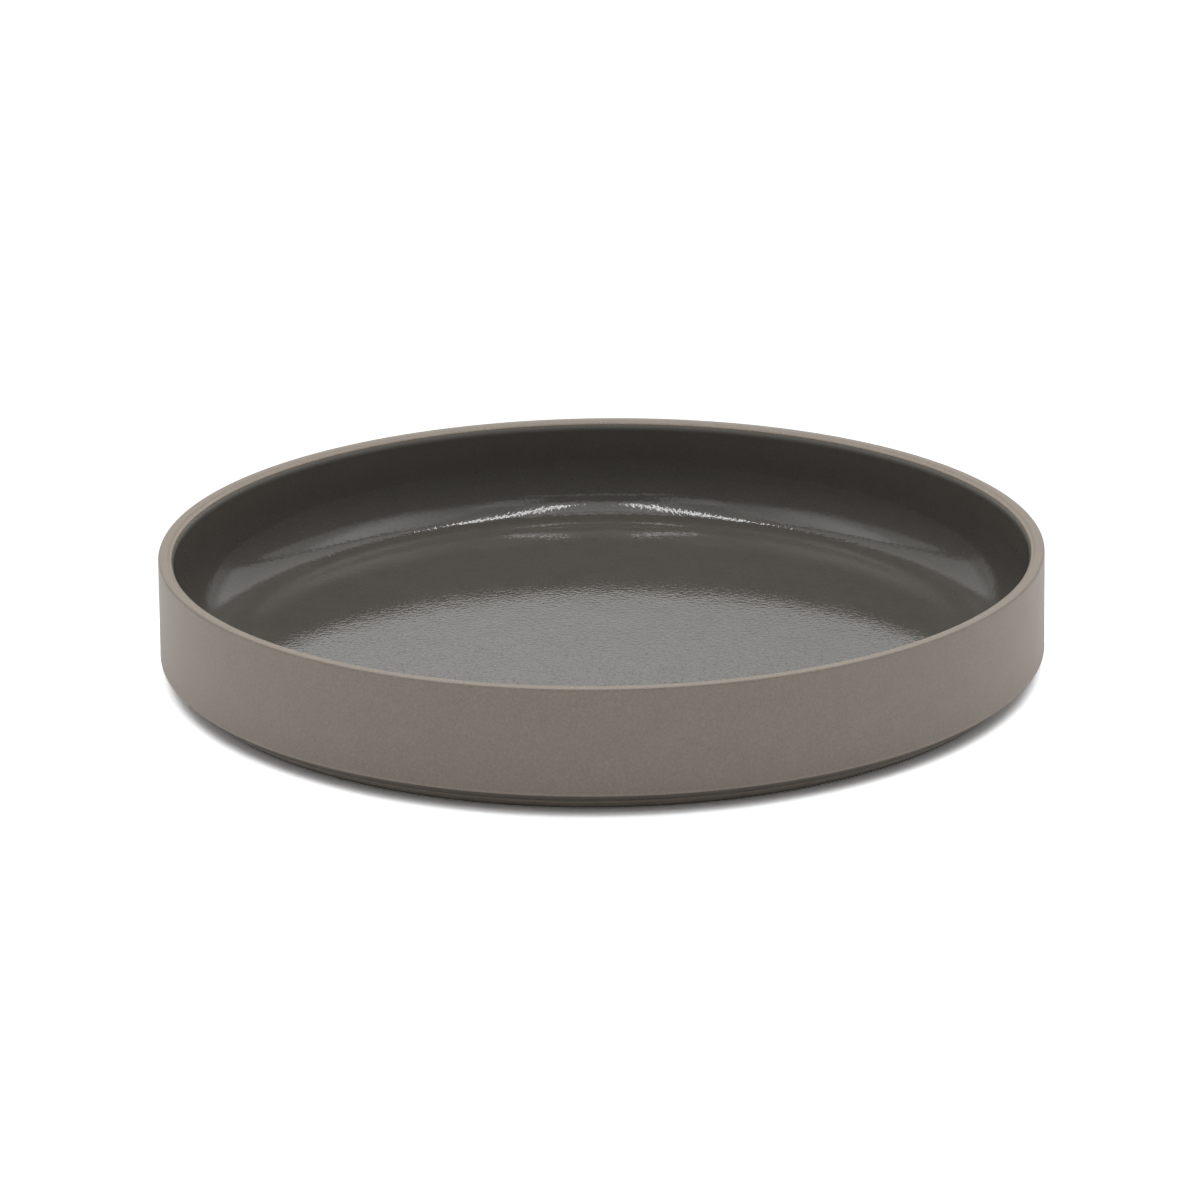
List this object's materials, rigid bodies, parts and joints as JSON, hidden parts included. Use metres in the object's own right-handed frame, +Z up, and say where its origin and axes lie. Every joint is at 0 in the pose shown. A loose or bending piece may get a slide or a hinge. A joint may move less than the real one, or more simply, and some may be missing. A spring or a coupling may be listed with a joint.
{
  "type": "low bowl",
  "caption": "Low round stoneware bowl with a straight bare wall, a bevelled foot and a glossy dark glaze on the inside.",
  "frame": {"origin": "centre of the foot ring, on the surface that the bowl stands on", "axes": "+Z up along the bowl's axis; +X and +Y are any two square directions, as the bowl is round"},
  "size_m": [0.26, 0.26, 0.0353],
  "materials": {
    "bare_stoneware": "matte, fine-grained, unglazed",
    "gloss_glaze": "glossy, faintly rippled"
  },
  "bodies": {
    "root": {"stoneware_body": "bare_stoneware", "inner_glaze": "gloss_glaze"}
  },
  "joints": []
}
